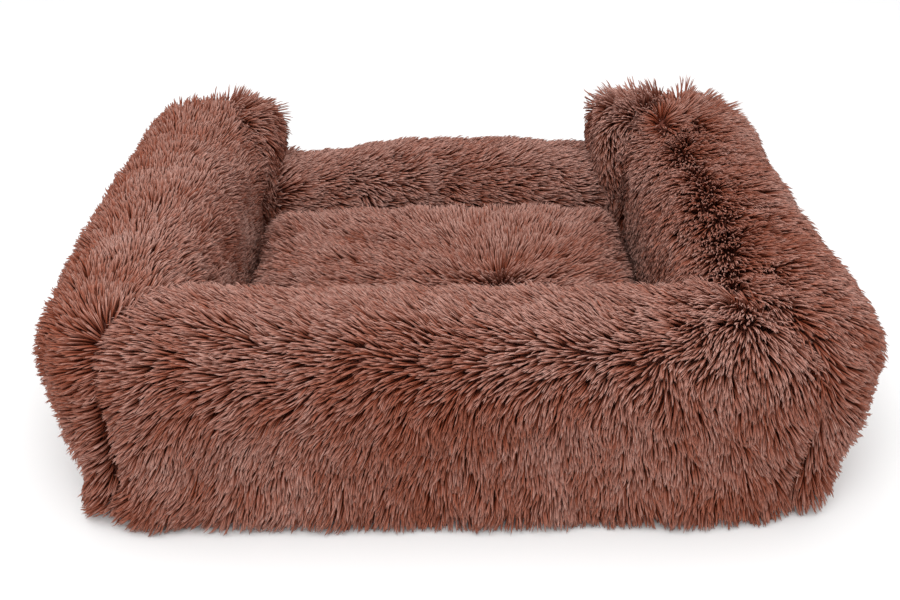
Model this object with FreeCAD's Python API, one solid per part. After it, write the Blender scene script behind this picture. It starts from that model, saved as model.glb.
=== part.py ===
import FreeCAD, Part
import math
import os

from FreeCAD import Vector

# Pet cushion bed: four stuffed walls round a lift-out cushion, with one low wall as the way in.
# Millimetres. +Z is up and z = 0 is the floor. The high rear wall is at -Y, the entrance at +Y.
# The outer sizes include the long pile of the covers.

# Overall
WIDTH = 600.0
DEPTH = 490.0
WALL_HEIGHT = 165.0
SILL_HEIGHT = 114.0

# Plan of the opening in the middle; it sits a little to the left, so the right wall is thicker
OPENING_LEFT = -182.0
OPENING_RIGHT = 165.0
OPENING_HALF_DEPTH = 118.0
OPENING_CORNER_RADIUS = 12.0

# Outer faces: they bulge high up, lean in towards the floor, and are fuller at the corners there
BULGE_HEIGHT = 110.0
SIDE_BASE_DRAW_IN = 30.0
END_BASE_DRAW_IN = 8.0
TOP_DRAW_IN = 8.0
LOW_SECTION_HEIGHT = 40.0
SECTION_SPACING = 10.0     # the least height between two outlines that the outer faces pass through
BULGE_CORNER_RADIUS = 92.0
BASE_CORNER_RADIUS = 46.0
TOP_ROUND = 54.0
SILL_ROUND = 48.0

# Seams: the corner seams run from the opening's corners to the outer face
SEAM_HALF_WIDTH = 250.0
ENTRANCE_LEFT = -162.0
ENTRANCE_RIGHT = 134.0
POST_CORNER_ROUND = 26.0

# Each post's face beside the entrance, and the way from there into the post
NOTCH_SIDES = {"left_post": (ENTRANCE_LEFT, -1), "right_post": (ENTRANCE_RIGHT, 1)}

# Covers are backing cloth and pile together; the filling inside them is a little slack
COVER_THICKNESS = 20.0
COVER_FLOOR_THICKNESS = 4.0
FILLING_GAP = 0.5
SEAM_GAP = 1.5

# Base layers, from the floor up
BASE_CLOTH_THICKNESS = 2.0
BASE_CLOTH_MARGIN = 16.0
WADDING_THICKNESS = 10.0
LINING_THICKNESS = 2.0
LAYER_GAP = 0.3

# Lift-out cushion
CUSHION_TOP = 82.0
CUSHION_CLEARANCE = 1.5
CUSHION_CORNER_RADIUS = 30.0
CUSHION_TOP_ROUND = 22.0
CUSHION_BOTTOM_ROUND = 8.0
UNDERSIDE_THICKNESS = 2.5
TACK_X = 40.0
TACK_DEPTH = 14.0
DIMPLE_RADIUS = 40.0
THREAD_RADIUS = 1.5
KNOT_RADIUS = 4.0
KNOT_THICKNESS = 1.5
THREAD_GAP = 0.2

REACH = 2.0          # how far the seam planes run on past the outer face, as a share of their length
BEYOND = 120.0       # how far a cutting block runs past the bed
EDGE_TOLERANCE = 0.1  # how far from a level an edge still counts as lying on it


def rounded_rectangle(left, right, half_depth, radius, z):
    """A closed wire at height z, from x = left to right and y = -half_depth to half_depth."""
    centre_x = (left + right) / 2
    half_width = (right - left) / 2
    straight_x = half_width - radius
    straight_y = half_depth - radius
    edges = []
    for sign_x, sign_y in ((-1, -1), (1, -1), (1, 1), (-1, 1)):
        corner = Vector(centre_x + sign_x * straight_x, sign_y * straight_y, z)
        start_angle = math.atan2(sign_y, sign_x) - math.pi / 4
        ends = []
        for step in range(3):
            angle = start_angle + step * math.pi / 4
            ends.append(corner + Vector(radius * math.cos(angle), radius * math.sin(angle), 0))
        edges.append(Part.Arc(*ends).toShape())
    sides = []
    for arc, following in zip(edges, edges[1:] + edges[:1]):
        end = arc.valueAt(arc.LastParameter)
        start = following.valueAt(following.FirstParameter)
        sides.append(arc)
        sides.append(Part.LineSegment(end, start).toShape())
    return Part.Wire(sides)


def block(wire, height):
    return Part.Face(wire).extrude(Vector(0, 0, height))


def outer_section(z, inset):
    """The bed's outline at height z, moved in by inset."""
    below = max(0.0, 1 - z / BULGE_HEIGHT)
    above = max(0.0, z - BULGE_HEIGHT) / (WALL_HEIGHT - BULGE_HEIGHT)
    top_draw = TOP_DRAW_IN * above ** 2
    half_width = WIDTH / 2 - SIDE_BASE_DRAW_IN * below - top_draw - inset
    half_depth = DEPTH / 2 - END_BASE_DRAW_IN * below - top_draw - inset
    radius = BULGE_CORNER_RADIUS + (BASE_CORNER_RADIUS - BULGE_CORNER_RADIUS) * below - inset
    return rounded_rectangle(-half_width, half_width, half_depth, radius, z)


def opening_block(inset, top):
    """The space inside the walls, widened by inset on every side."""
    outline = rounded_rectangle(
        OPENING_LEFT - inset,
        OPENING_RIGHT + inset,
        OPENING_HALF_DEPTH + inset,
        OPENING_CORNER_RADIUS + inset,
        0,
    )
    return block(outline, top)


def wall_ring(bottom, top, top_round, inset):
    """One ring of wall right round the bed, with its top edges rounded over."""
    between = [z for z in (LOW_SECTION_HEIGHT, BULGE_HEIGHT) if z < top - SECTION_SPACING]
    heights = [bottom, *between, top]
    solid = Part.makeLoft([outer_section(z, inset) for z in heights], True, False)
    ring = solid.cut(opening_block(inset, top + BEYOND))
    rim = [edge for edge in ring.Edges if edge.BoundBox.ZMin > top - EDGE_TOLERANCE]
    return ring.makeFillet(top_round, rim)


def seam_line(sign_x, sign_y):
    """A corner seam in plan: the opening's corner, and a point past the outer face."""
    inner_x = OPENING_LEFT if sign_x < 0 else OPENING_RIGHT
    inner = Vector(inner_x, sign_y * OPENING_HALF_DEPTH, 0)
    outer = Vector(sign_x * SEAM_HALF_WIDTH, sign_y * DEPTH / 2, 0)
    return inner, inner + (outer - inner) * REACH


def wall_regions():
    """The plan area that each wall fills, as a face at z = 0, by the wall's name."""
    rear_left, rear_left_out = seam_line(-1, -1)
    rear_right, rear_right_out = seam_line(1, -1)
    front_left, front_left_out = seam_line(-1, 1)
    front_right, front_right_out = seam_line(1, 1)
    side = WIDTH / 2 + BEYOND
    outlines = {
        "rear_wall": [rear_left, rear_right, rear_right_out, rear_left_out],
        "left_wall": [
            rear_left, rear_left_out, Vector(-side, rear_left_out.y, 0),
            Vector(-side, front_left_out.y, 0), front_left_out, front_left,
        ],
        "right_wall": [
            rear_right, rear_right_out, Vector(side, rear_right_out.y, 0),
            Vector(side, front_right_out.y, 0), front_right_out, front_right,
        ],
        "entrance": [front_left, front_right, front_right_out, front_left_out],
    }
    regions = {}
    for name, corners in outlines.items():
        regions[name] = Part.Face(Part.makePolygon(corners + corners[:1]))
    entrance = regions.pop("entrance")
    for name, left, right in (
        ("left_post", -side, ENTRANCE_LEFT),
        ("entrance_sill", ENTRANCE_LEFT, ENTRANCE_RIGHT),
        ("right_post", ENTRANCE_RIGHT, side),
    ):
        strip = Part.makePlane(right - left, DEPTH, Vector(left, 0, 0))
        regions[name] = entrance.common(strip).Faces[0]
    return regions


def round_top_corner(post, notch_x, towards_post):
    """Rounds the post's top where it turns down into the entrance, seen from the front."""
    top = WALL_HEIGHT
    far_x = notch_x + towards_post * POST_CORNER_ROUND
    low_z = top - POST_CORNER_ROUND
    arc_middle = POST_CORNER_ROUND * (1 - math.sqrt(0.5))
    start = Vector(notch_x, 0, low_z)
    middle = Vector(notch_x + towards_post * arc_middle, 0, top - arc_middle)
    end = Vector(far_x, 0, top)
    outside = [
        end,
        Vector(far_x, 0, top + BEYOND),
        Vector(notch_x - towards_post * BEYOND, 0, top + BEYOND),
        Vector(notch_x - towards_post * BEYOND, 0, low_z),
        start,
    ]
    edges = [Part.Arc(start, middle, end).toShape()]
    for here, there in zip(outside, outside[1:]):
        edges.append(Part.LineSegment(here, there).toShape())
    corner = Part.Face(Part.Wire(edges)).extrude(Vector(0, DEPTH, 0))
    return post.cut(corner)


def make_walls():
    """The cover and the filling of each wall."""
    floor = BASE_CLOTH_THICKNESS
    hollow_floor = floor + COVER_FLOOR_THICKNESS
    nodes = {}
    rings = {}
    for name, height, top_round in (
        ("high", WALL_HEIGHT, TOP_ROUND),
        ("low", SILL_HEIGHT, SILL_ROUND),
    ):
        slack = COVER_THICKNESS + FILLING_GAP
        skin = wall_ring(floor, height, top_round, 0)
        hollow = wall_ring(
            hollow_floor, height - COVER_THICKNESS, top_round - COVER_THICKNESS, COVER_THICKNESS
        )
        filling = wall_ring(hollow_floor + FILLING_GAP, height - slack, top_round - slack, slack)
        rings[name] = (skin, hollow, filling)
    for name, region in wall_regions().items():
        skin, hollow, filling = rings["low" if name == "entrance_sill" else "high"]
        column = region.extrude(Vector(0, 0, WALL_HEIGHT + BEYOND))
        inner_column = region.makeOffset2D(-SEAM_GAP).extrude(Vector(0, 0, WALL_HEIGHT + BEYOND))
        wall = skin.common(column)
        room = hollow.common(column)
        core = filling.common(inner_column)
        if name in NOTCH_SIDES:
            notch_x, towards_post = NOTCH_SIDES[name]
            end_cover = Vector(towards_post * COVER_THICKNESS, 0, 0)
            wall = round_top_corner(wall, notch_x, towards_post)
            room = room.common(column.translated(end_cover))
            core = core.common(inner_column.translated(end_cover))
        nodes[name + "_cover"] = wall.cut(room)
        nodes[name + "_filling"] = core
    return nodes


def base_sheet(bottom, thickness):
    """One layer of the floor inside the walls."""
    outline = rounded_rectangle(
        OPENING_LEFT + LAYER_GAP,
        OPENING_RIGHT - LAYER_GAP,
        OPENING_HALF_DEPTH - LAYER_GAP,
        OPENING_CORNER_RADIUS - LAYER_GAP,
        bottom,
    )
    return block(outline, thickness)


def make_base():
    """The non-slip cloth under the whole bed, and the padded floor inside the walls."""
    cloth = block(outer_section(0, BASE_CLOTH_MARGIN), BASE_CLOTH_THICKNESS)
    lining_bottom = BASE_CLOTH_THICKNESS + WADDING_THICKNESS
    return {
        "base_cloth": cloth,
        "base_wadding": base_sheet(BASE_CLOTH_THICKNESS, WADDING_THICKNESS),
        "base_lining": base_sheet(lining_bottom, LINING_THICKNESS),
    }


def cushion_body(inset, bottom, top, top_round, bottom_round):
    """A block with the cushion's outline, its top and bottom edges rounded."""
    gap = CUSHION_CLEARANCE + inset
    outline = rounded_rectangle(
        OPENING_LEFT + gap,
        OPENING_RIGHT - gap,
        OPENING_HALF_DEPTH - gap,
        CUSHION_CORNER_RADIUS - gap,
        bottom,
    )
    solid = block(outline, top - bottom)
    upper = [edge for edge in solid.Edges if edge.BoundBox.ZMin > top - EDGE_TOLERANCE]
    lower = [edge for edge in solid.Edges if edge.BoundBox.ZMax < bottom + EDGE_TOLERANCE]
    return solid.makeFillet(top_round, upper).makeFillet(bottom_round, lower)


def make_tack(bottom, top, gap):
    """The stitch through the cushion with a knot at each end, or its hole when gap is over 0."""
    thread = Part.makeCylinder(THREAD_RADIUS + gap, top - bottom, Vector(TACK_X, 0, bottom))
    knot_radius = KNOT_RADIUS + gap
    knot_height = KNOT_THICKNESS + gap
    lower_knot = Part.makeCylinder(knot_radius, knot_height, Vector(TACK_X, 0, bottom))
    upper_knot = Part.makeCylinder(knot_radius, knot_height, Vector(TACK_X, 0, top - knot_height))
    return thread.fuse([lower_knot, upper_knot]).removeSplitter()


def make_cushion():
    """The lift-out cushion: furry top cover, plain underside, filling and the tack through them."""
    bottom = BASE_CLOTH_THICKNESS + WADDING_THICKNESS + LINING_THICKNESS + LAYER_GAP
    dimple_bottom = CUSHION_TOP - TACK_DEPTH
    dimple = Part.makeSphere(DIMPLE_RADIUS, Vector(TACK_X, 0, dimple_bottom + DIMPLE_RADIUS))
    whole = cushion_body(0, bottom, CUSHION_TOP, CUSHION_TOP_ROUND, CUSHION_BOTTOM_ROUND)
    whole = whole.cut(dimple)
    slab_top = bottom + UNDERSIDE_THICKNESS
    slab = Part.makeBox(WIDTH, DEPTH, slab_top, Vector(-WIDTH / 2, -DEPTH / 2, 0))
    hollow_top = CUSHION_TOP - COVER_THICKNESS
    filling_inset = COVER_THICKNESS + FILLING_GAP
    hollow = cushion_body(
        COVER_THICKNESS, slab_top, hollow_top, CUSHION_BOTTOM_ROUND, FILLING_GAP
    )
    filling = cushion_body(
        filling_inset, slab_top + FILLING_GAP, hollow_top - FILLING_GAP,
        CUSHION_BOTTOM_ROUND, FILLING_GAP,
    )
    tack = make_tack(bottom, dimple_bottom, 0)
    hole = make_tack(bottom - THREAD_GAP, dimple_bottom + THREAD_GAP, THREAD_GAP)
    return {
        "cushion_top_cover": whole.cut(slab).cut(hollow).cut(hole),
        "cushion_underside": whole.common(slab).cut(hole),
        "cushion_filling": filling.cut(hole),
        "cushion_tack_stitch": tack,
    }


def save(nodes):
    os.makedirs("parts", exist_ok=True)
    for name, shape in nodes.items():
        for solid in shape.Solids:
            if not solid.isValid():
                raise ValueError(name + " is not a valid solid")
        print(name, len(shape.Solids), "solid,", round(shape.Volume / 1000), "cm3")
        shape.exportStep("parts/" + name + ".step")


save({**make_base(), **make_walls(), **make_cushion()})
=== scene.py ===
import math

import bpy
import numpy as np
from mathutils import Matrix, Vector
from mathutils.kdtree import KDTree


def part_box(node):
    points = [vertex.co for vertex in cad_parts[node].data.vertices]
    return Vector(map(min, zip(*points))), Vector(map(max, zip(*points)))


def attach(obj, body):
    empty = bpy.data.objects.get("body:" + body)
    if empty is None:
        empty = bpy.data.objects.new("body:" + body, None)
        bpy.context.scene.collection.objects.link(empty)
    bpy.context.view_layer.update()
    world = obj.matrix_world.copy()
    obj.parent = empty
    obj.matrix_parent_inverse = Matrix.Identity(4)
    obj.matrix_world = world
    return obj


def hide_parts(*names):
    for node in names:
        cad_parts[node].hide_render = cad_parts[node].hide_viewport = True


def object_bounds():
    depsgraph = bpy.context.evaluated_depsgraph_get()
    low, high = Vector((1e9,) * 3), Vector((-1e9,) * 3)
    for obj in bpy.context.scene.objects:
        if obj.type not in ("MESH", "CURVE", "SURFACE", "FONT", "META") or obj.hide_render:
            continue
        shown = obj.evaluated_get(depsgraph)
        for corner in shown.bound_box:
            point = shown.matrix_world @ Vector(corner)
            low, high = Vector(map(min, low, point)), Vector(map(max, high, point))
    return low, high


# The looks of a plush pet bed. Each wall and the cushion get a puffed backing cloth, a filling
# inside it, and a long pile of separate locks of fibre that grow out of the cloth. The floor and
# the cushion's underside get flat cloths, quilted, piped or dotted with rubber.
# Metres. +Z is up, the rear wall is at -Y, the entrance at +Y.

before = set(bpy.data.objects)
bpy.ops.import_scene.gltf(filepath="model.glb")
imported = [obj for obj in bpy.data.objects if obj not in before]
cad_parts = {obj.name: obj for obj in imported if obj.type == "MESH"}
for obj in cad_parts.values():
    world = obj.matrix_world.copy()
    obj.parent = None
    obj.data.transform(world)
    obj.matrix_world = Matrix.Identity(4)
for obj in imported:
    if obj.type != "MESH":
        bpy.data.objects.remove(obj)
CAD_LOW, CAD_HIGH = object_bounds()

# Where the corner seams between the walls reach the outer face, either side of the middle
SEAM_HALF_WIDTH = 0.25
SEAM_REACH = 0.014  # how far to each side a seam draws in the cloth and its pile
SEAM_TOP = 0.105  # seams fade out towards this height, over SEAM_FADE
SEAM_FADE = 0.03
SEAM_DEPTH = 0.0035
SEAM_START = 0.02  # how far inside the opening's corner a seam still counts
SEAM_TOUCH = 0.007  # cloth this near a seam, and facing it, lies against the next wall
SEAM_FACING = 0.8
FAR_AWAY = 1.0  # the distance added where it no longer counts

# The space that the cushion lies in. The walls' pile reaches into it only near and above the
# cushion's top, by about OVERHANG, so the two piles pass through each other as it lifts
LINING_LOW, LINING_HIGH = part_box("base_lining")
CUSHION_LOW, CUSHION_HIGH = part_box("cushion_top_cover")
TACK_LOW, TACK_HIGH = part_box("cushion_tack_stitch")
RIGHT_POST_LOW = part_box("right_post_cover")[0]
TACK = (TACK_LOW + TACK_HIGH) / 2

# Backing cloth
VOXEL = 0.006
PRESSURE = 4.0
SWELL_FRAMES = 20
SWELL_CAP = 0.003
WALL_FULLNESS = 0.004
CUSHION_FULLNESS = 0.006
DIMPLE_DEPTH = 0.005
DIMPLE_REACH = 0.02
PINNED_HEIGHT = 0.004
FOOT_HEIGHT = 0.012
DIMPLE_BOTTOM = 0.035  # the dimple draws in the cushion above this, fully so DIMPLE_RISE higher
DIMPLE_RISE = 0.02
WRINKLE = 0.0012
NARROW_SHARE = 0.6  # how high the narrow wrinkles are, as a share of the wide ones
STUFFING_GAP = 0.0025
SILL_DRAWN_OUT = 0.015  # how far each end of the sill reaches to meet its post

# Where the soft walls bulge or sag away from their even shape: centre, reach, push
BULGES = (
    ((-0.28, -0.03, 0.14), (0.10, 0.15, 0.06), (-0.010, 0.0, 0.003)),
    ((0.28, -0.18, 0.08), (0.10, 0.12, 0.08), (0.013, -0.004, 0.0)),
    ((-0.26, -0.20, 0.02), (0.06, 0.10, 0.04), (-0.003, -0.005, 0.0)),
    ((0.0, -0.23, 0.0), (0.30, 0.06, 0.04), (0.0, -0.008, 0.0)),
    ((-0.14, 0.18, 0.10), (0.07, 0.10, 0.08), (0.0, 0.0, -0.014)),
    ((0.12, 0.18, 0.10), (0.05, 0.10, 0.08), (0.0, 0.0, -0.006)),
    ((0.03, -0.18, 0.16), (0.26, 0.09, 0.08), (0.0, 0.0, -0.009)),
)
CUSHION_BULGES = (
    ((0.0, 0.10, 0.07), (0.20, 0.04, 0.04), (0.0, 0.007, 0.006)),
)

# Ripples, which vary smoothly over the cloth and the pile: the size of each, and its seed
WIDE_WRINKLES = (0.07, 3)
NARROW_WRINKLES = (0.03, 4)
WALL_PATCHES = (0.16, 31)
WALL_FLECKS = (0.035, 32)
WALL_TUFTS = (0.028, 33)
CUSHION_PATCHES = (0.12, 41)
CUSHION_FLECKS = (0.035, 42)
CUSHION_TUFTS = (0.028, 43)
OVERHANG_RIPPLE = (0.035, 51)
CUSHION_EDGE_RIPPLE = (0.03, 52)
WILD_TUFTS = (0.02, 61)
BASE_RIPPLE = (0.06, 71)
UNDERSIDE_RIPPLE = (0.07, 72)
WAVES_PER_RIPPLE = 7
WAVE_SIZES = (0.6, 1.4)  # the least and the most that a wave's number per metre is scaled by
TINY = 1e-9  # stands in for a length of 0 in a division

# Flat cloths
LAYER_SPACING = 0.004
LAYER_CLEARANCE = 0.0002
HEM = 0.01  # seam allowance on every side of a flat cloth
BASE_CORNER_RADIUS = 0.04
BASE_CLOTH_THICKNESS = 0.0006
BASE_WAVE = 0.0002
LINING_CORNER_RADIUS = 0.012
LINING_THICKNESS = 0.0005
WADDING_LUMP = 0.0025
QUILT_SPACING = 0.04
CUSHION_CORNER_RADIUS = 0.02
UNDERSIDE_INSET = 0.0125  # the pile of the cushion's sides hangs down outside the seam
UNDERSIDE_WAVE = 0.0004
UNDERSIDE_PUCKER = 0.0006
PIPING_RADIUS = 0.0016
PIPING_SIDES = 8
GRIP_SPACING = 0.012
GRIP_MARGIN = 0.03
GRIP_RADIUS = 0.002
GRIP_SIDES = 8
GRIP_LOW = 0.0001
GRIP_HEIGHT = 0.0006
GRIP_TOP = 0.0008
GRIP_RINGS = ((1.0, GRIP_TOP), (0.9, GRIP_HEIGHT / 3), (0.5, GRIP_LOW))  # share of the radius, height

# Pile
LOCK_SPACING = 0.002
LOCK_CLEARANCE = 0.8  # the least distance between locks, as a share of LOCK_SPACING
TRIES_PER_LOCK = 2.6
FIBRES_PER_LOCK = 2
LOCK_RADIUS = 0.0007
LOCK_GATHER = 0.4
CLUMP_SIZE = 12  # how many locks share a clump
CLUMP_PULL = 0.5  # the most of the way that their tips move together
FIBRE_RADIUS = 0.0005
FIBRE_RADII = (0.8, 1.25)  # the least and the most that its radius and length are scaled by
FIBRE_LENGTHS = (0.92, 1.03)
FIBRE_LEAN = 0.03  # how much the fibres of a lock differ
FIBRE_SWING = 0.02
FIBRE_TONE = 0.08
LOCK_SWING = 0.06  # how much the locks differ
ROOT_DEPTH = 0.001
STATIONS = (0.0, 0.45, 0.86, 1.0)  # where along a fibre its rings and its tip lie
GIRTHS = (0.8, 1.0, 0.9)
SIDES = 3
FIBRES_PER_PIECE = 12000
TONES = 64  # columns of the colour map, one per tone
HIGHEST_TONE = 0.999  # still in the last column
TONE_MARGIN = 0.1
ROOT_MARGIN = 0.02

# What the pile keeps clear of, and how softly it is pressed back from there
FLOOR_CLEARANCE = 0.0012
FLOOR_SOFTNESS = 0.002
PILE_TOP = 0.1785
TOP_SOFTNESS = 0.003
SIDE_SOFTNESS = 0.004
POST_SOFTNESS = 0.006
OVERHANG = 0.011  # how far the walls' pile may stand in over the cushion
OVERHANG_START = 0.008  # how far below the cushion's top it may begin to
OVERHANG_RISE = 0.025
OVERHANG_RAGGED = 0.4
CUSHION_EDGE = 0.001
CUSHION_RAGGED = 0.0035

# How the pile stands. It leans away from upright by LEAN at the root and by its bend at the tip.
PILE_LENGTH = 0.0215
LEAN = 0.34
LEAN_SPREAD = 0.05
WALL_BEND = 1.42
CUSHION_BEND = 1.36
BEND_SPREAD = 0.06
WALL_LENGTH_SPREAD = 0.0012
CUSHION_LENGTH_SPREAD = 0.001
SKIRT_HEIGHT = 0.05  # below this the walls' pile is longer and stands out
SKIRT_LENGTH = 0.008
SKIRT_LIFT = 0.3
SEAM_SHORTENING = 0.3
TUFT_LENGTH = 0.0008
TUFT_LIFT = 0.05
CUSHION_TUFT_LENGTH = 0.0015
CUSHION_TUFT_LIFT = 0.1
WIDE_TURN = 0.2  # how far the comb direction strays, and over what distance
WIDE_TURN_SIZE = 0.08
NARROW_TURN = 0.24
NARROW_TURN_SIZE = 0.026
LOCK_TURN = 0.07
CUSHION_STRAYING = 0.9
UNDER_FACING = -0.75  # no pile grows where a wall's cloth faces down more than this
CUSHION_UNDER_FACING = -0.3
SILL_END_FACING = 0.8  # nor on the ends of the sill
TACK_REACH = 0.03  # the pile stands up around the tack
TACK_LIFT = 0.5

# The walls' tops at the entrance are wild: some tufts are longer and stand up
WILD_HEIGHT = 0.11
WILD_RISE = 0.03
WILD_START = 0.13
WILD_RUN = 0.05
WILD_LENGTH = 0.008
WILD_LIFT = 0.7
WILD_MOST = 1.5
LEFT_WALL_WILD = 0.6

# The right wall's pile parts where its surface tilts to the cushion, by this x of its normal
CROWN_TILT = 0.22
CROWN_WIDTH = 0.5
CROWN_LIFT = 0.1
CROWN_START = -0.19
CROWN_RUN = 0.08

# The rear wall's pile stands up along a ridge, and the side walls' lies flatter on the outside
RIDGE_HEIGHT = 0.125
RIDGE_WIDTH = 0.015
RIDGE_LIFT = 0.2
FLANK_START = 0.24
FLANK_FLATTER = 0.08

# The pile of the left wall is combed away from a whorl; at the right whorl it lies flat and long
LEFT_WHORL = Vector((-0.235, -0.205))
LEFT_PARTING = 0.7  # how strongly the left wall's pile also parts along its crown
RIGHT_WHORL = (0.205, -0.19)
WHORL_REACH = 0.04
WHORL_FLATTER = 0.2
WHORL_LENGTH = 0.003

# Combing: the pile begins to hang at HANG_TOP, and hangs fully HANG_FADE lower
HANG_TOP = 0.13
HANG_FADE = 0.10
REAR_INSIDE_COMB = (-0.7, 0.3, -0.6)
LEFT_OUTSIDE_COMB = (-0.2, 0.35, -1.0)

# Tones run from 0, russet, to 1, rosy. What each part of a wall adds, on every wall and on some walls.
# Patches, flecks and tufts are the pile's own uneven colour. Most of the rest is painted light:
# a painted highlight where the pile faces up, and painted shade in bands, creases and low down.
WALL_TONE = 0.47
CUSHION_TONE = 0.6
LOCK_TONE_SPREAD = 0.2
# Where the band of painted shade below the walls' top lies, and how wide it is
MIDDLE_HEIGHT = 0.125
MIDDLE_WIDTH = 0.035
TONE_AND_PAINTED_LIGHT_EVERYWHERE = {
    # patches, flecks and tufts: the pile's own uneven colour; up: painted highlight on upward faces
    "patches": 0.14, "flecks": 0.13, "tufts": 0.06, "up": 0.2,
    # middle, crease, skirt and low: painted shade
    "middle": -0.4, "crease": -0.2, "skirt": -0.2, "low": -0.15,
}
TONE_AND_PAINTED_LIGHT_BY_WALL = {
    # The right wall: painted highlights on its sides, the inner one most, and painted shade along its crown
    "right_wall": {"left": 0.35, "right": 0.1, "crown": -0.4},
    # The left wall: a painted highlight on its inner side, painted shade on its outer side and top, darker
    # towards the entrance
    "left_wall": {"right": 0.3, "left": -0.5, "up": -0.12, "far_end": -0.1},
    "entrance_sill": {"all_over": 0.1, "right_end": 0.2},
    "right_post": {"all_over": 0.2},
}

# How the rear wall is combed, in degrees: 0 lies to the left, 90 hangs down, 180 lies to the
# right and -35 points up to the left. One row per height, one column per place along the wall.
COMB_PLACES = (-0.25, -0.12, 0.0, 0.1, 0.17, 0.25)
COMB_HEIGHTS = (0.018, 0.055, 0.1, 0.132, 0.158, 0.18)
COMB_RIDGE_LIFT = 0.03  # added to the height where the wall's surface turns to face up
COMB_ANGLES = (
    (62, 72, 88, 90, 98, 112),
    (52, 58, 80, 90, 98, 115),
    (45, 44, 62, 80, 92, 118),
    (30, 24, 28, 50, 78, 125),
    (12, 4, 4, 12, 50, 150),
    (-5, -24, -26, -26, -5, 185),
)


# ---------------- materials

WAVE_REPEAT = 0.314  # how far apart the bands of a wave texture lie at a scale of 1


def new_material(name, roughness, sheen=0.0, specular=0.25):
    """A material with one Principled shader; returns it, its node tree and the shader."""
    material = bpy.data.materials.new(name)
    material.use_nodes = True
    shader = material.node_tree.nodes["Principled BSDF"]
    shader.inputs["Roughness"].default_value = roughness
    shader.inputs["Sheen Weight"].default_value = sheen
    shader.inputs["Sheen Roughness"].default_value = 0.4
    shader.inputs["Specular IOR Level"].default_value = specular
    return material, material.node_tree, shader


def ramp(tree, stops):
    """A colour ramp from (place, colour) stops."""
    node = tree.nodes.new("ShaderNodeValToRGB")
    elements = node.color_ramp.elements
    for element, (place, colour) in zip(elements, (stops[0], stops[-1])):
        element.position = place
        element.color = (*colour, 1)
    for place, colour in stops[1:-1]:
        element = elements.new(place)
        element.color = (*colour, 1)
    return node


def pile_material(name, russet, rose):
    """Plush pile. Across the map runs a lock's tone, and up it runs the fibre, root to tip."""
    material, tree, shader = new_material(name, 0.5, 0.03, 0.08)
    shader.inputs["Sheen Tint"].default_value = (0.9, 0.6, 0.5, 1)
    uv = tree.nodes.new("ShaderNodeUVMap")
    uv.uv_map = "OFBake"
    split = tree.nodes.new("ShaderNodeSeparateXYZ")
    tree.links.new(uv.outputs["UV"], split.inputs["Vector"])
    mix = tree.nodes.new("ShaderNodeMix")
    mix.data_type = "RGBA"
    tree.links.new(split.outputs["X"], mix.inputs["Factor"])
    for stops, socket in ((russet, "A"), (rose, "B")):
        tint = ramp(tree, stops)
        tree.links.new(split.outputs["Y"], tint.inputs["Fac"])
        tree.links.new(tint.outputs["Color"], mix.inputs[socket])
    tree.links.new(mix.outputs["Result"], shader.inputs["Base Color"])
    return material


def add_noise(tree, scale, detail=2.0):
    """Noise over the piece's own coordinates."""
    place = tree.nodes.new("ShaderNodeTexCoord")
    noise = tree.nodes.new("ShaderNodeTexNoise")
    noise.inputs["Scale"].default_value = scale
    noise.inputs["Detail"].default_value = detail
    tree.links.new(place.outputs["Object"], noise.inputs["Vector"])
    return noise.outputs["Fac"]


def add_colour(tree, shader, value, stops):
    """Colours the surface by that value."""
    tint = ramp(tree, stops)
    tree.links.new(value, tint.inputs["Fac"])
    tree.links.new(tint.outputs["Color"], shader.inputs["Base Color"])


def add_relief(tree, shader, value, strength, distance):
    """Makes the surface look raised by that value."""
    relief = tree.nodes.new("ShaderNodeBump")
    relief.inputs["Strength"].default_value = strength
    relief.inputs["Distance"].default_value = distance
    tree.links.new(value, relief.inputs["Height"])
    tree.links.new(relief.outputs["Normal"], shader.inputs["Normal"])


def woven_material(name, dark, light, thread, bump):
    """Plain-weave cloth that repeats every pi times thread, with a slow change of colour."""
    material, tree, shader = new_material(name, 0.8, 0.15)
    place = tree.nodes.new("ShaderNodeTexCoord")
    waves = []
    for direction in ("X", "Y"):
        wave = tree.nodes.new("ShaderNodeTexWave")
        wave.bands_direction = direction
        wave.inputs["Scale"].default_value = WAVE_REPEAT / thread / math.pi
        wave.inputs["Distortion"].default_value = 0.4
        tree.links.new(place.outputs["Object"], wave.inputs["Vector"])
        waves.append(wave)
    weave = tree.nodes.new("ShaderNodeMath")
    weave.operation = "MULTIPLY"
    tree.links.new(waves[0].outputs["Fac"], weave.inputs[0])
    tree.links.new(waves[1].outputs["Fac"], weave.inputs[1])
    blend = tree.nodes.new("ShaderNodeMath")
    blend.operation = "MULTIPLY_ADD"
    blend.inputs[1].default_value = 0.55
    tree.links.new(weave.outputs[0], blend.inputs[0])
    tree.links.new(add_noise(tree, 22.0), blend.inputs[2])
    add_colour(tree, shader, blend.outputs[0], ((0.3, dark), (1.0, light)))
    add_relief(tree, shader, weave.outputs[0], bump, thread / 3)
    return material


def fleece_material(name, dark, light):
    """Loose polyester filling."""
    material, tree, shader = new_material(name, 0.9, 0.3)
    noise = add_noise(tree, 160.0, 6.0)
    add_colour(tree, shader, noise, ((0.3, dark), (0.7, light)))
    add_relief(tree, shader, noise, 0.6, 0.002)
    return material


def rubber_material(name, dark, light):
    """Soft cast rubber, slightly mottled and faintly rough."""
    material, tree, shader = new_material(name, 0.55)
    noise = add_noise(tree, 900.0)
    add_colour(tree, shader, noise, ((0.35, dark), (0.65, light)))
    add_relief(tree, shader, noise, 0.2, 0.0002)
    return material


# Both ramps darken from the fibre's tip to its root: partly the fibre's own colour, partly painted shade
# deep in the pile
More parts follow.
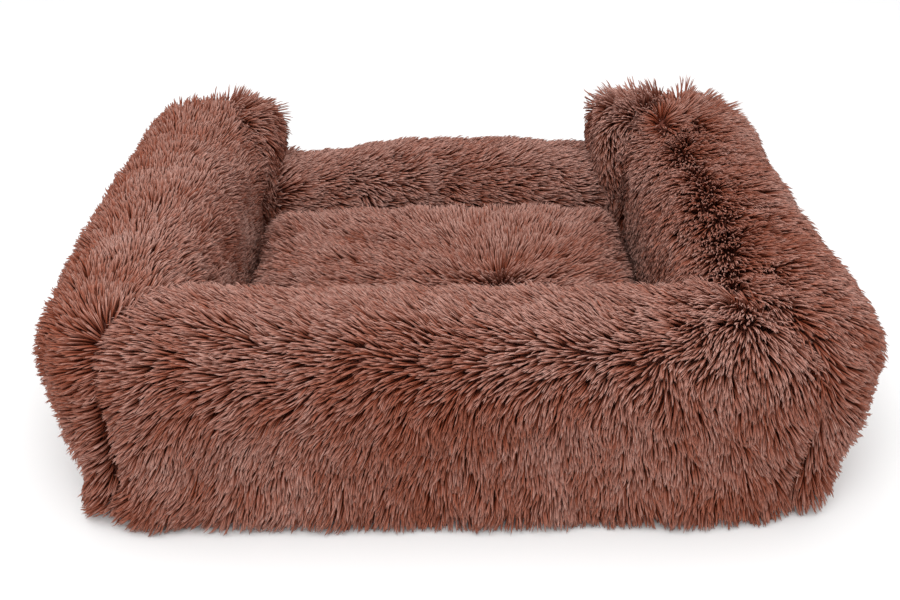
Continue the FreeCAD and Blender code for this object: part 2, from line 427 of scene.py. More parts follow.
RUSSET = (
    (0.0, (0.15, 0.018, 0.005)),
    (0.5, (0.235, 0.047, 0.019)),
    (0.8, (0.31, 0.096, 0.057)),
    (1.0, (0.375, 0.140, 0.092)),
)
ROSE = (
    (0.0, (0.17, 0.026, 0.010)),
    (0.5, (0.31, 0.11, 0.07)),
    (0.8, (0.49, 0.26, 0.21)),
    (1.0, (0.61, 0.37, 0.315)),
)
PILE = pile_material("plush_pile", RUSSET, ROSE)
# The backing cloth is coloured dark partly as painted shade, so the gaps between the locks look deep
BACKING = woven_material("knitted_backing", (0.09, 0.02, 0.01), (0.17, 0.04, 0.024), 0.0012, 0.3)
BASE_CLOTH = woven_material("nonslip_cloth", (0.11, 0.075, 0.062), (0.27, 0.2, 0.17), 0.001, 0.5)
LINING = woven_material("lining_cloth", (0.15, 0.065, 0.048), (0.34, 0.19, 0.15), 0.0009, 0.4)
RUBBER = rubber_material("grip_rubber", (0.05, 0.035, 0.03), (0.09, 0.065, 0.055))
THREAD = woven_material("sewing_thread", (0.10, 0.03, 0.02), (0.22, 0.08, 0.06), 0.0006, 0.6)
FLEECE = fleece_material("polyester_filling", (0.55, 0.54, 0.52), (0.85, 0.84, 0.82))


# ---------------- meshes

def link(name, mesh, material):
    piece = bpy.data.objects.new(name, mesh)
    bpy.context.scene.collection.objects.link(piece)
    mesh.materials.clear()
    mesh.materials.append(material)
    return piece


def values_of(mesh, name):
    flat = np.empty(len(mesh.vertices) * 3, np.float32)
    mesh.vertices.foreach_get(name, flat)
    return flat.reshape(-1, 3).astype(float)


def points_of(mesh):
    return values_of(mesh, "co")


def normals_of(mesh):
    return values_of(mesh, "normal")


def set_points(mesh, points):
    mesh.vertices.foreach_set("co", points.astype(np.float32).ravel())
    mesh.update()


def bake_modifiers(piece):
    """Puts what the modifiers make into the mesh, and takes them off."""
    graph = bpy.context.evaluated_depsgraph_get()
    mesh = bpy.data.meshes.new_from_object(piece.evaluated_get(graph))
    piece.modifiers.clear()
    piece.data = mesh


def ripple(points, size, seed):
    """A smooth value, mostly from -1.5 to 1.5, that varies over a distance of about size."""
    rng = np.random.default_rng(seed)
    total = np.zeros(len(points))
    for _ in range(WAVES_PER_RIPPLE):
        direction = rng.normal(size=3)
        direction *= rng.uniform(*WAVE_SIZES) * 2 * math.pi / size / np.linalg.norm(direction)
        total += np.sin(points @ direction + rng.uniform(0, 2 * math.pi))
    return total / math.sqrt(WAVES_PER_RIPPLE)


def rising(values, start, reach):
    """0 up to start, then evenly up to 1 over reach."""
    return np.clip((values - start) / reach, 0, 1)


def falling(values, end, reach):
    """1 until reach before the end, then evenly down to 0 at the end."""
    return np.clip((end - values) / reach, 0, 1)


def hump(values, centre, width):
    """1 at the centre, fading away over about that width on either side."""
    return np.exp(-((values - centre) / width) ** 2)


def swell(piece, pinned):
    """Blows the closed skin up a little, as stuffing does; the pinned points stay."""
    before = points_of(piece.data)
    group = piece.vertex_groups.new(name="pinned")
    group.add(np.nonzero(pinned)[0].tolist(), 1.0, "REPLACE")
    cloth = piece.modifiers.new("Cloth", "CLOTH")
    cloth.settings.vertex_group_mass = "pinned"
    cloth.settings.use_pressure = True
    cloth.settings.uniform_pressure_force = PRESSURE
    cloth.settings.effector_weights.gravity = 0
    scene = bpy.context.scene
    for step in range(1, SWELL_FRAMES + 1):
        scene.frame_set(step)
    bake_modifiers(piece)
    moved = points_of(piece.data) - before
    size = np.linalg.norm(moved, axis=1, keepdims=True)
    set_points(piece.data, before + moved * np.minimum(1, SWELL_CAP / np.maximum(size, TINY)))
    scene.frame_set(1)


def pull_in_seams(mesh):
    """Draws the walls' skins in along the corner seams, below the rounded top."""
    points, normals = points_of(mesh), normals_of(mesh)
    near = np.clip(1 - seam_distance(points) / SEAM_REACH, 0, 1)
    near *= falling(points[:, 2], SEAM_TOP, SEAM_FADE)
    set_points(mesh, points - normals * (SEAM_DEPTH * near)[:, None])


def lengthened(points):
    """The sill's skin drawn out at both ends, to meet the posts."""
    low, high = points[:, 0].min(), points[:, 0].max()
    middle = (low + high) / 2
    longer = points.copy()
    longer[:, 0] = middle + (points[:, 0] - middle) * (1 + 2 * SILL_DRAWN_OUT / (high - low))
    return longer


def slump(points, bulges):
    """Moves points by a soft piece's bulges and sags."""
    moved = points.copy()
    for centre, reach, push in bulges:
        share = np.exp(-(((points - centre) / reach) ** 2).sum(1))
        moved += share[:, None] * push
    return moved


def make_skin(name, node, fullness):
    """The backing cloth of a stuffed piece, from the block that fills it, moved out a little."""
    skin = link(name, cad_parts[node].data.copy(), BACKING)
    remesh = skin.modifiers.new("Remesh", "REMESH")
    remesh.mode = "VOXEL"
    remesh.voxel_size = VOXEL
    smooth = skin.modifiers.new("Smooth", "SMOOTH")
    smooth.factor = 0.6
    smooth.iterations = 6
    bake_modifiers(skin)
    low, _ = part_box(node)
    swell(skin, points_of(skin.data)[:, 2] < low.z + PINNED_HEIGHT)
    skin.modifiers.new("Subdivision", "SUBSURF").levels = 1
    bake_modifiers(skin)
    points = points_of(skin.data)
    wrinkles = ripple(points, *WIDE_WRINKLES) + NARROW_SHARE * ripple(points, *NARROW_WRINKLES)
    outwards = fullness + WRINKLE * wrinkles
    outwards *= rising(points[:, 2], low.z, FOOT_HEIGHT)
    set_points(skin.data, points + normals_of(skin.data) * outwards[:, None])
    skin.data.polygons.foreach_set("use_smooth", [True] * len(skin.data.polygons))
    return skin


def make_stuffing(name, skin, node, body):
    """The filling inside a skin, a little smaller than it."""
    stuffing = link(name, skin.data.copy(), FLEECE)
    set_points(stuffing.data, points_of(skin.data) - normals_of(skin.data) * STUFFING_GAP)
    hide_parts(node)
    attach(stuffing, body)


# ---------------- pile

def tree_of(points):
    """A tree that finds which of the points are near a place."""
    tree = KDTree(len(points))
    for index, point in enumerate(points):
        tree.insert(point, index)
    tree.balance()
    return tree


def sample(mesh, spacing, seed):
    """Evenly scattered points on a mesh, about spacing apart, with their normals."""
    rng = np.random.default_rng(seed)
    mesh.calc_loop_triangles()
    corners = np.empty(len(mesh.loop_triangles) * 3, np.int32)
    mesh.loop_triangles.foreach_get("vertices", corners)
    corners = corners.reshape(-1, 3)
    points, normals = points_of(mesh), normals_of(mesh)
    a, b, c = (points[corners[:, k]] for k in range(3))
    areas = np.linalg.norm(np.cross(b - a, c - a), axis=1) / 2
    count = int(TRIES_PER_LOCK * areas.sum() / spacing ** 2)
    pick = rng.choice(len(areas), count, p=areas / areas.sum())
    root, side = np.sqrt(rng.random(count)), rng.random(count)
    weights = np.stack([1 - root, root * (1 - side), root * side], axis=1)[:, :, None]
    found = (points[corners[pick]] * weights).sum(1)
    facing = (normals[corners[pick]] * weights).sum(1)
    facing /= np.linalg.norm(facing, axis=1, keepdims=True)
    tree = tree_of(found)
    free = np.ones(count, bool)
    kept = []
    for index in range(count):
        if free[index]:
            kept.append(index)
            for _, other, _ in tree.find_range(found[index], spacing * LOCK_CLEARANCE):
                free[other] = False
    return found[kept], facing[kept]


def unit(vectors):
    return vectors / np.maximum(np.linalg.norm(vectors, axis=1, keepdims=True), TINY)


def along_surface(vectors, normals):
    """Each vector laid flat on the surface, with length 1."""
    return unit(vectors - (vectors * normals).sum(1, keepdims=True) * normals)


def turned(directions, normals, angles):
    """Each direction turned about its normal, in radians."""
    across = np.cross(normals, directions)
    return directions * np.cos(angles)[:, None] + across * np.sin(angles)[:, None]


def settle(value, limit, softness):
    """Values near or past the limit are pressed back just short of it, softly."""
    over = value - (limit - softness)
    pressed = limit - softness * np.exp(-np.maximum(over, 0) / softness)
    return np.where(over > 0, pressed, value)


def nearest(points, leaders):
    """For each point the leader that is nearest to it."""
    tree = tree_of(leaders)
    return leaders[[tree.find(point)[1] for point in points]]


def grow(name, roots, normals, comb, look, keep_clear, body, seed):
    """Grows locks of fibre. look holds one value per root of length, lean at the root, lean at
    the tip and tone."""
    rng = np.random.default_rng(seed)
    count = len(roots)
    clump = (nearest(roots, roots[::CLUMP_SIZE]) - roots) * CLUMP_PULL * rng.random((count, 1))
    fibres = count * FIBRES_PER_LOCK
    again = np.repeat(np.arange(count), FIBRES_PER_LOCK)
    normal, along = normals[again], comb[again]
    across = np.cross(normal, along)
    length = look["length"][again] * rng.uniform(*FIBRE_LENGTHS, fibres)
    lean = look["lean"][again] + rng.normal(0, FIBRE_LEAN, fibres)
    bend = look["bend"][again] + rng.normal(0, FIBRE_LEAN, fibres)
    swing = rng.normal(0, LOCK_SWING, count)[again] + rng.normal(0, FIBRE_SWING, fibres)
    spread = LOCK_RADIUS * np.sqrt(rng.random(fibres))
    around = rng.uniform(0, 2 * math.pi, fibres)
    offset = along * (spread * np.cos(around))[:, None] + across * (spread * np.sin(around))[:, None]
    centres = []
    frames = []
    for station in STATIONS:
        angle = lean + (bend - lean) * station
        rise = (np.sin(angle) - np.sin(lean)) / (bend - lean)
        reach = (np.cos(lean) - np.cos(angle)) / (bend - lean)
        gather = 1 - LOCK_GATHER * station
        centre = roots[again] + offset * gather
        centre += normal * (length * rise - ROOT_DEPTH)[:, None] + along * (length * reach)[:, None]
        centre += across * (length * swing * station ** 2)[:, None]
        centre += clump[again] * station ** 2
        centres.append(keep_clear(centre))
        frames.append(np.cross(across, np.sin(angle)[:, None] * along + np.cos(angle)[:, None] * normal))
    roll = rng.uniform(0, 2 * math.pi, fibres)
    radius = FIBRE_RADIUS * rng.uniform(*FIBRE_RADII, fibres)
    rings = []
    for ring, girth in enumerate(GIRTHS):
        for side in range(SIDES):
            angle = roll + side * 2 * math.pi / SIDES
            out = across * np.cos(angle)[:, None] + frames[ring] * np.sin(angle)[:, None]
            rings.append(centres[ring] + out * (radius * girth)[:, None])
    vertices = np.stack([*rings, centres[-1]], axis=1)
    tone = np.clip(look["tone"][again] + rng.normal(0, FIBRE_TONE, fibres), 0, HIGHEST_TONE)
    parts = math.ceil(fibres / FIBRES_PER_PIECE)
    for part in range(parts):
        chosen = slice(part * fibres // parts, (part + 1) * fibres // parts)
        label = name if parts == 1 else f"{name}_{part + 1}"
        mesh = fibre_mesh(label, vertices[chosen], tone[chosen])
        piece = link(label, mesh, PILE)
        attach(piece, body)


def fibre_mesh(name, vertices, tone):
    """One mesh of closed, tapered fibres; vertices are (fibre, point of the fibre, xyz)."""
    fibres, per_fibre = vertices.shape[:2]
    tip = per_fibre - 1
    faces = []
    heights = []
    places = []
    for ring in range(len(GIRTHS) - 1):
        for side in range(SIDES):
            here, beside = ring * SIDES + side, ring * SIDES + (side + 1) % SIDES
            faces.append((here, beside, beside + SIDES, here + SIDES))
            heights.append((STATIONS[ring],) * 2 + (STATIONS[ring + 1],) * 2)
            places.append((0, 1, 1, 0))
    last = (len(GIRTHS) - 1) * SIDES
    for side in range(SIDES):
        faces.append((last + side, last + (side + 1) % SIDES, tip))
        heights.append((STATIONS[-2], STATIONS[-2], 1.0))
        places.append((0, 1, 0.5))
    faces.append(tuple(reversed(range(SIDES))))
    heights.append((0.0, 0.0, ROOT_MARGIN))
    places.append((0, 1, 0.5))
    sizes = np.array([len(face) for face in faces])
    corner = np.array([index for face in faces for index in face])
    up = np.array([value for face in heights for value in face])
    across = np.array([value for face in places for value in face])
    mesh = bpy.data.meshes.new(name)
    mesh.vertices.add(fibres * per_fibre)
    mesh.vertices.foreach_set("co", vertices.astype(np.float32).ravel())
    loops = (corner[None, :] + (np.arange(fibres) * per_fibre)[:, None]).ravel()
    mesh.loops.add(len(loops))
    mesh.loops.foreach_set("vertex_index", loops.astype(np.int32))
    totals = np.tile(sizes, fibres)
    starts = np.concatenate([[0], np.cumsum(totals)[:-1]])
    mesh.polygons.add(len(totals))
    mesh.polygons.foreach_set("loop_start", starts.astype(np.int32))
    mesh.polygons.foreach_set("use_smooth", np.ones(len(totals), bool))
    mesh.update(calc_edges=True)
    layer = mesh.uv_layers.new(name="OFBake")
    cell = np.floor(tone * TONES)[:, None]
    uv = np.empty((fibres, len(corner), 2))
    uv[:, :, 0] = (cell + TONE_MARGIN + (1 - 2 * TONE_MARGIN) * across[None, :]) / TONES
    uv[:, :, 1] = ROOT_MARGIN + (1 - 2 * ROOT_MARGIN) * up[None, :]
    layer.data.foreach_set("uv", uv.astype(np.float32).ravel())
    return mesh


def chart(places, heights):
    """The rear wall's comb angle at each place and height, in radians."""
    by_row = [np.interp(places, COMB_PLACES, row) for row in COMB_ANGLES]
    rows = np.stack(by_row)
    level = np.interp(heights, COMB_HEIGHTS, range(len(COMB_HEIGHTS)))
    lower = np.minimum(level.astype(int), len(COMB_HEIGHTS) - 2)
    part = level - lower
    index = np.arange(len(places))
    return np.radians(rows[lower, index] * (1 - part) + rows[lower + 1, index] * part)


def hanging(points):
    """0 at the height where the pile begins to hang, and 1 where it hangs fully."""
    return falling(points[:, 2], HANG_TOP, HANG_FADE)


def comb_rear_wall(points, normals):
    """As the chart says on its outside and top, and down to the left on its inside."""
    angle = chart(points[:, 0], points[:, 2] + COMB_RIDGE_LIFT * np.clip(normals[:, 2], 0, 1))
    ridge_way = np.cross(normals, (1.0, 0.0, 0.0))
    pull = -np.cos(angle)[:, None] * np.array((1.0, 0, 0)) - np.sin(angle)[:, None] * ridge_way
    inside = np.clip(normals[:, 1] * 2, 0, 1)[:, None]
    return pull * (1 - inside) + np.array(REAR_INSIDE_COMB) * inside


def comb_left_wall(points, normals):
    """Fanned out from the whorl at its near end, and hanging on its outside."""
    away = points.copy()
    away[:, :2] -= np.array(LEFT_WHORL)
    away[:, 2] = 0
    outside = np.clip(np.clip(normals[:, 1], 0, 1) - normals[:, 0], 0, 1)
    flank = (outside * np.clip(hanging(points) * 2, 0, 1))[:, None]
    pull = unit(away) + np.array((LEFT_PARTING, 0, 0)) * normals[:, :1]
    return pull * (1 - flank) + np.array(LEFT_OUTSIDE_COMB) * flank


def comb_right_wall(points, normals):
    """Parted along its crown, towards the near end, and turned away from it at the far end."""
    flank = np.clip(normals[:, 0], 0, 1) * np.clip(hanging(points) * 2, 0, 1)
    sideways = 1.1 * (normals[:, 0] + CROWN_TILT)
    lengthways = -0.5 + 0.8 * flank + 0.8 * rising(points[:, 1], 0.08, 0.1)
    return np.column_stack([sideways, lengthways, -1.3 * hanging(points)])


def comb_post(points, normals, sideways):
    """Spread from the top to the outside and the inside, and hanging below the rounded top."""
    spread = 1.1 * (normals[:, 1] - 0.1)
    outer = np.clip(normals[:, 1] * 1.5, 0, 1)
    down = 0.5 * falling(points[:, 2], 0.15, 0.03) + 1.2 * outer
    return np.column_stack([np.full(len(points), sideways), spread, -down])


def comb_sill(points, normals):
    """Along the sill to the right, rising at the top and falling lower down."""
    return np.column_stack([np.ones(len(points)), 0.3 * normals[:, 1], 0.35 - hanging(points)])


# The walls, and which way the pile of each lies at each root before it is laid on the surface
COMBS = {
    "rear_wall": comb_rear_wall,
    "left_wall": comb_left_wall,
    "right_wall": comb_right_wall,
    "left_post": lambda points, normals: comb_post(points, normals, 0.7),
    "right_post": lambda points, normals: comb_post(points, normals, -0.3),
    "entrance_sill": comb_sill,
}


def keep_below(points, axis, limit, softness):
    points[:, axis] = settle(points[:, axis], limit, softness)


def keep_above(points, axis, limit, softness):
    points[:, axis] = -settle(-points[:, axis], -limit, softness)


def wall_limits(wall):
    """A function that keeps a wall's pile off the floor and out of the cushion's way."""
    def keep_clear(points):
        points = points.copy()
        above = points[:, 2] - CUSHION_HIGH.z + OVERHANG_START
        spare = OVERHANG * np.clip(above / OVERHANG_RISE, 0, 1)
        spare *= 1 + OVERHANG_RAGGED * ripple(points, *OVERHANG_RIPPLE)
        if wall == "left_wall":
            keep_below(points, 0, LINING_LOW.x + spare, SIDE_SOFTNESS)
        elif wall == "right_wall":
            keep_above(points, 0, LINING_HIGH.x - spare, SIDE_SOFTNESS)
        elif wall == "rear_wall":
            keep_below(points, 1, LINING_LOW.y + spare, SIDE_SOFTNESS)
        else:
            keep_above(points, 1, LINING_HIGH.y - spare, SIDE_SOFTNESS)
        if wall == "right_post":
            keep_above(points, 0, RIGHT_POST_LOW.x, POST_SOFTNESS)
        keep_above(points, 2, FLOOR_CLEARANCE, FLOOR_SOFTNESS)
        keep_below(points, 2, PILE_TOP, TOP_SOFTNESS)
        return points
    return keep_clear


def cushion_limits(points):
    """Keeps the cushion's pile inside the cushion's own outline."""
    points = points.copy()
    short = CUSHION_EDGE + CUSHION_RAGGED * np.abs(ripple(points, *CUSHION_EDGE_RIPPLE))
    for axis in (0, 1):
        keep_below(points, axis, CUSHION_HIGH[axis] - short, SIDE_SOFTNESS)
        keep_above(points, axis, CUSHION_LOW[axis] + short, SIDE_SOFTNESS)
    keep_above(points, 2, CUSHION_LOW.z + CUSHION_EDGE, TOP_SOFTNESS)
    return points


def seams():
    """Each corner seam in plan: a point on it, and the direction across it."""
    found = []
    for inner_x, sign_x in ((LINING_LOW.x, -1), (LINING_HIGH.x, 1)):
        for inner_y, outer_y in ((LINING_LOW.y, CAD_LOW.y), (LINING_HIGH.y, CAD_HIGH.y)):
            inner = np.array((inner_x, inner_y))
            run = np.array((sign_x * SEAM_HALF_WIDTH, outer_y)) - inner
            found.append((inner, np.array((-run[1], run[0])) / np.linalg.norm(run)))
    return found


def seam_distance(points):
    """How far each point is from the nearest corner seam."""
    gaps = []
    for inner, across in seams():
        off = points[:, :2] - inner
        beyond = np.where((off * np.sign(inner)).sum(1) < -SEAM_START, FAR_AWAY, 0.0)
        gaps.append(np.abs(off @ across) + beyond)
    return np.min(gaps, axis=0)


def faces_a_seam(points, normals):
    """True where a skin lies against the next wall's skin, so no pile grows there."""
    hidden = np.zeros(len(points), bool)
    for inner, across in seams():
        gap = np.abs((points[:, :2] - inner) @ across)
        facing = np.abs(normals[:, :2] @ across)
        hidden |= (gap < SEAM_TOUCH) & (facing > SEAM_FACING)
    return hidden


def stray(comb, normals, points, seed, amount):
    """Small irregular turns of the comb direction, wide ones and narrow ones."""
    rng = np.random.default_rng(seed)
    turn = WIDE_TURN * ripple(points, WIDE_TURN_SIZE, seed)
    turn = turn + NARROW_TURN * ripple(points, NARROW_TURN_SIZE, seed + 1)
    turn += rng.normal(0, LOCK_TURN, len(points))
    return turned(comb, normals, turn * amount)


def right_wall_crown(normals):
    """1 along the crown of the right wall, where its pile parts, and 0 away from it."""
    return hump(normals[:, 0], -CROWN_TILT, CROWN_WIDTH) * np.clip(normals[:, 2], 0, 1)


def wall_tone_and_painted_light(wall, roots, normals, crease, skirt):
    """How rosy a wall's pile is, one value per root: its own uneven colour, with painted highlights and
    painted shade added.
    """
    height = roots[:, 2]
    up = np.clip(normals[:, 2], 0, 1)
    parts = {
        "patches": ripple(roots, *WALL_PATCHES),
        "flecks": ripple(roots, *WALL_FLECKS),
        "tufts": ripple(roots, *WALL_TUFTS),
        # up: painted highlight, rosier where the pile faces up
        "up": up,
        # middle: painted shade, a darker band below the walls' top
        "middle": hump(height, MIDDLE_HEIGHT, MIDDLE_WIDTH) * (1 - up),
        # crease: painted shade along the corner seams
        "crease": crease,
        # skirt and low: painted shade, darker towards the floor
        "skirt": skirt,
        "low": np.clip(1.5 - height / SKIRT_HEIGHT, 0, 1),
        "all_over": np.ones(len(roots)),
        # left and right: painted light, a wall's sides made lighter or darker as the light falls on them
        "left": np.clip(-normals[:, 0], 0, 1),
        "right": np.clip(normals[:, 0], 0, 1),
        # crown: painted shade along the right wall's crown
        "crown": right_wall_crown(normals),
        "far_end": rising(roots[:, 1], 0.02, 0.1),
        "right_end": rising(roots[:, 0], -0.1, 0.2),
    }
    tone = np.full(len(roots), WALL_TONE)
    for amounts in (TONE_AND_PAINTED_LIGHT_EVERYWHERE, TONE_AND_PAINTED_LIGHT_BY_WALL.get(wall, {})):
        for part, amount in amounts.items():
            tone += amount * parts[part]
    return tone


def wall_look(wall, roots, normals, rng):
    """The length, lean, bend and tone of a wall's pile, one value per root."""
    count = len(roots)
    along, height = roots[:, 1], roots[:, 2]
    # Near the seams the pile is shorter, and through crease it is painted darker as painted shade
    crease = np.clip(1 - seam_distance(roots) / SEAM_REACH, 0, 1)
    crease *= falling(height, SEAM_TOP, SEAM_FADE) * rising(height, 0, SKIRT_HEIGHT)
    # skirt also darkens the low pile, as painted shade
    skirt = np.clip(1 - height / SKIRT_HEIGHT, 0, 1)
    length = PILE_LENGTH + SKIRT_LENGTH * skirt + rng.normal(0, WALL_LENGTH_SPREAD, count)
    length *= 1 - SEAM_SHORTENING * crease
    lean = LEAN + rng.normal(0, LEAN_SPREAD, count)
    bend = WALL_BEND - SKIRT_LIFT * skirt + rng.normal(0, BEND_SPREAD, count)
    if wall == "right_wall":
        bend -= CROWN_LIFT * right_wall_crown(normals) * rising(along, CROWN_START, CROWN_RUN)
    if wall == "rear_wall":
        bend -= RIDGE_LIFT * hump(height, RIDGE_HEIGHT, RIDGE_WIDTH)
    if wall in ("left_wall", "right_wall"):
        flank = np.clip(np.abs(normals[:, 0]) * 1.4 - 0.2, 0, 1) * (np.abs(roots[:, 0]) > FLANK_START)
        bend += FLANK_FLATTER * flank
    whorl = np.exp(-((roots[:, :2] - RIGHT_WHORL) ** 2).sum(1) / WHORL_REACH ** 2)
    bend += WHORL_FLATTER * whorl
    length += WHORL_LENGTH * whorl
    wild = rising(height, WILD_HEIGHT, WILD_RISE) * rising(along, WILD_START, WILD_RUN)
    if wall == "left_wall":
        wild *= LEFT_WALL_WILD
    wild_tufts = np.clip(ripple(roots, *WILD_TUFTS), 0, WILD_MOST)
    length += WILD_LENGTH * wild * wild_tufts
    bend -= WILD_LIFT * wild * wild_tufts
    tuft = ripple(roots, *WALL_TUFTS)
    length += TUFT_LENGTH * tuft
    bend -= TUFT_LIFT * tuft
    tone = wall_tone_and_painted_light(wall, roots, normals, crease, skirt) + rng.normal(0, LOCK_TONE_SPREAD, count)
    return {"length": length, "lean": lean, "bend": bend, "tone": tone}


def wall_pile(wall, skin, seed):
    roots, normals = sample(skin.data, LOCK_SPACING, seed)
    shown = (normals[:, 2] > UNDER_FACING) & ~faces_a_seam(roots, normals)
    if wall == "entrance_sill":
        shown &= np.abs(normals[:, 0]) < SILL_END_FACING
    roots, normals = roots[shown], normals[shown]
    comb = along_surface(COMBS[wall](roots, normals), normals)
    comb = stray(comb, normals, roots, seed + 10, 1.0)
    look = wall_look(wall, roots, normals, np.random.default_rng(seed + 20))
    grow(wall + "_pile", roots, normals, comb, look, wall_limits(wall), "bed", seed + 30)


def cushion_look(roots, distance, rng):
    """The same for the cushion's pile; distance is from the tack."""
    count = len(roots)
    near = np.exp(-distance / TACK_REACH)
    length = PILE_LENGTH + rng.normal(0, CUSHION_LENGTH_SPREAD, count)
    lean = LEAN + rng.normal(0, LEAN_SPREAD, count)
    bend = CUSHION_BEND - TACK_LIFT * near + rng.normal(0, BEND_SPREAD, count)
    tuft = ripple(roots, *CUSHION_TUFTS)
    length += CUSHION_TUFT_LENGTH * tuft
    bend -= CUSHION_TUFT_LIFT * tuft
    patches, flecks = ripple(roots, *CUSHION_PATCHES), ripple(roots, *CUSHION_FLECKS)
    tone = CUSHION_TONE + 0.13 * patches + 0.12 * flecks + 0.06 * tuft
    # Painted shade: darker around the tack, in its dimple. The pile is also rosier towards the entrance and
    # the right side.
    tone += rng.normal(0, LOCK_TONE_SPREAD, count) - 0.3 * near
    far_side = rising(roots[:, 1], 0, 0.1)
    right_side = rising(roots[:, 0], 0.1, 0.05)
    tone += 0.2 * far_side + 0.2 * right_side
    return {"length": length, "lean": lean, "bend": bend, "tone": tone}


def cushion_pile(skin, seed):
    """Combed away from the tack, and down on the cushion's sides."""
    roots, normals = sample(skin.data, LOCK_SPACING, seed)
    shown = normals[:, 2] > CUSHION_UNDER_FACING
    roots, normals = roots[shown], normals[shown]
    away = roots - np.array((TACK.x, TACK.y, 0))
    away[:, 2] = 0
    distance = np.linalg.norm(away, axis=1)
    side = np.clip(1 - normals[:, 2:], 0, 1)
    comb = along_surface(unit(away + np.array((0.0, 0.01, 0.0))) - side * np.array((0, 0, 1.5)), normals)
    comb = stray(comb, normals, roots, seed + 10, CUSHION_STRAYING)
    look = cushion_look(roots, distance, np.random.default_rng(seed + 20))
    grow("cushion_pile", roots, normals, comb, look, cushion_limits, "cushion", seed + 30)


# ---------------- building the bed

def make_wall(wall, seed):
    skin = make_skin(wall + "_backing", wall + "_filling", WALL_FULLNESS)
    pull_in_seams(skin.data)
    if wall == "entrance_sill":
        set_points(skin.data, lengthened(points_of(skin.data)))
    set_points(skin.data, slump(points_of(skin.data), BULGES))
    make_stuffing(wall + "_stuffing", skin, wall + "_filling", "bed")
    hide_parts(wall + "_cover")
    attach(skin, "bed")
    wall_pile(wall, skin, seed)


def make_cushion():
    skin = make_skin("cushion_backing", "cushion_filling", CUSHION_FULLNESS)
    points = points_of(skin.data)
    away = np.hypot(points[:, 0] - TACK.x, points[:, 1] - TACK.y)
    upper = rising(points[:, 2], DIMPLE_BOTTOM, DIMPLE_RISE)
    points[:, 2] -= DIMPLE_DEPTH * hump(away, 0, DIMPLE_REACH) * upper
    set_points(skin.data, slump(points, CUSHION_BULGES))
    make_stuffing("cushion_stuffing", skin, "cushion_filling", "cushion")
    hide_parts("cushion_top_cover")
    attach(skin, "cushion")
    cushion_pile(skin, 900)


def rounded_outline(low, high, radius, spacing):
    """Points round a rounded rectangle in plan, anticlockwise, about spacing apart."""
    middle, half = (low + high) / 2, (high - low) / 2
    arcs = []
    for quarter, (sign_x, sign_y) in enumerate(((1, 1), (-1, 1), (-1, -1), (1, -1))):
        centre_x = middle.x + sign_x * (half.x - radius)
        centre_y = middle.y + sign_y * (half.y - radius)
        steps = max(3, round(radius * math.pi / 2 / spacing))
        for step in range(steps + 1):
            angle = (quarter + step / steps) * math.pi / 2
            arcs.append(np.array((centre_x + radius * math.cos(angle), centre_y + radius * math.sin(angle))))
    outline = []
    for here, there in zip(arcs, arcs[1:] + arcs[:1]):
        cuts = max(1, round(np.linalg.norm(there - here) / spacing))
        outline += [here + (there - here) * cut / cuts for cut in range(cuts)]
    return np.array(outline)


def smooth_piece(name, points, faces, material):
    mesh = bpy.data.meshes.new(name)
    mesh.from_pydata(points.tolist(), [], faces)
    mesh.polygons.foreach_set("use_smooth", [True] * len(mesh.polygons))
    return link(name, mesh, material)


def make_layer(name, outline, bottom, top, material):
    """A closed layer of cloth or wadding; bottom and top give its height at points in plan."""
    middle = outline.mean(axis=0)
    rings = round(np.abs(outline - middle).min(axis=1).max() / LAYER_SPACING)
    around = len(outline)
    scaled = [middle + (outline - middle) * (ring / rings) for ring in range(1, rings + 1)]
    plan = np.concatenate([*scaled, [middle]])
    count = len(plan)
    points = np.concatenate([np.column_stack([plan, top(plan)]), np.column_stack([plan, bottom(plan)])])
    faces = []
    for step in range(around):
        beside = (step + 1) % around
        faces.append((count - 1, step, beside))
        faces.append((2 * count - 1, count + beside, count + step))
        for ring in range(rings - 1):
            here, there = ring * around + step, ring * around + beside
            faces.append((here, here + around, there + around, there))
            faces.append((count + here, count + there, count + there + around, count + here + around))
        here, there = (rings - 1) * around + step, (rings - 1) * around + beside
        faces.append((here, count + here, count + there, there))
    return smooth_piece(name, points, faces, material)


def make_tube(name, outline, height, radius, material):
    """Round piping sewn along a closed outline."""
    along = unit(np.roll(outline, -1, axis=0) - np.roll(outline, 1, axis=0))
    out = np.column_stack([along[:, 1], -along[:, 0]])
    rings = []
    for side in range(PIPING_SIDES):
        angle = side * 2 * math.pi / PIPING_SIDES
        plan = outline + out * radius * math.cos(angle)
        rings.append(np.column_stack([plan, np.full(len(plan), height + radius * math.sin(angle))]))
    around = len(outline)
    faces = []
    for side in range(PIPING_SIDES):
        first, second = side * around, (side + 1) % PIPING_SIDES * around
        for step in range(around):
            beside = (step + 1) % around
            faces.append((first + step, first + beside, second + beside, second + step))
    return smooth_piece(name, np.concatenate(rings), faces, material)


def quilted(points):
    """How far cloth puffs up between diagonal stitch lines, from 0 on a line to 1."""
    puff = np.ones(len(points))
    for slope in (1, -1):
        across = (points[:, 0] + slope * points[:, 1]) / math.sqrt(2)
        puff *= np.sqrt(np.abs(np.sin(across * math.pi / QUILT_SPACING)))
    return puff


def in_plan(points):
    """Points in plan, as points at height 0."""
    return np.column_stack([points, np.zeros(len(points))])


def cut_size(low, high):
    """What a cloth of that size was cut to, with its seam allowance."""
    return high.x - low.x + 2 * HEM, high.y - low.y + 2 * HEM


def make_base_cloth():
    """The cloth under the bed, with rows of rubber dots that grip the floor."""
    low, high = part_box("base_cloth")
    outline = rounded_outline(low, high, BASE_CORNER_RADIUS, LAYER_SPACING)

    def bottom(points):
        return GRIP_HEIGHT + BASE_WAVE * (1 + ripple(in_plan(points), *BASE_RIPPLE))

    def top(points):
        return bottom(points) + BASE_CLOTH_THICKNESS

    cloth = make_layer("nonslip_base", outline, bottom, top, BASE_CLOTH)
    dots = make_grip_dots(low, high)
    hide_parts("base_cloth")
    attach(cloth, "bed")


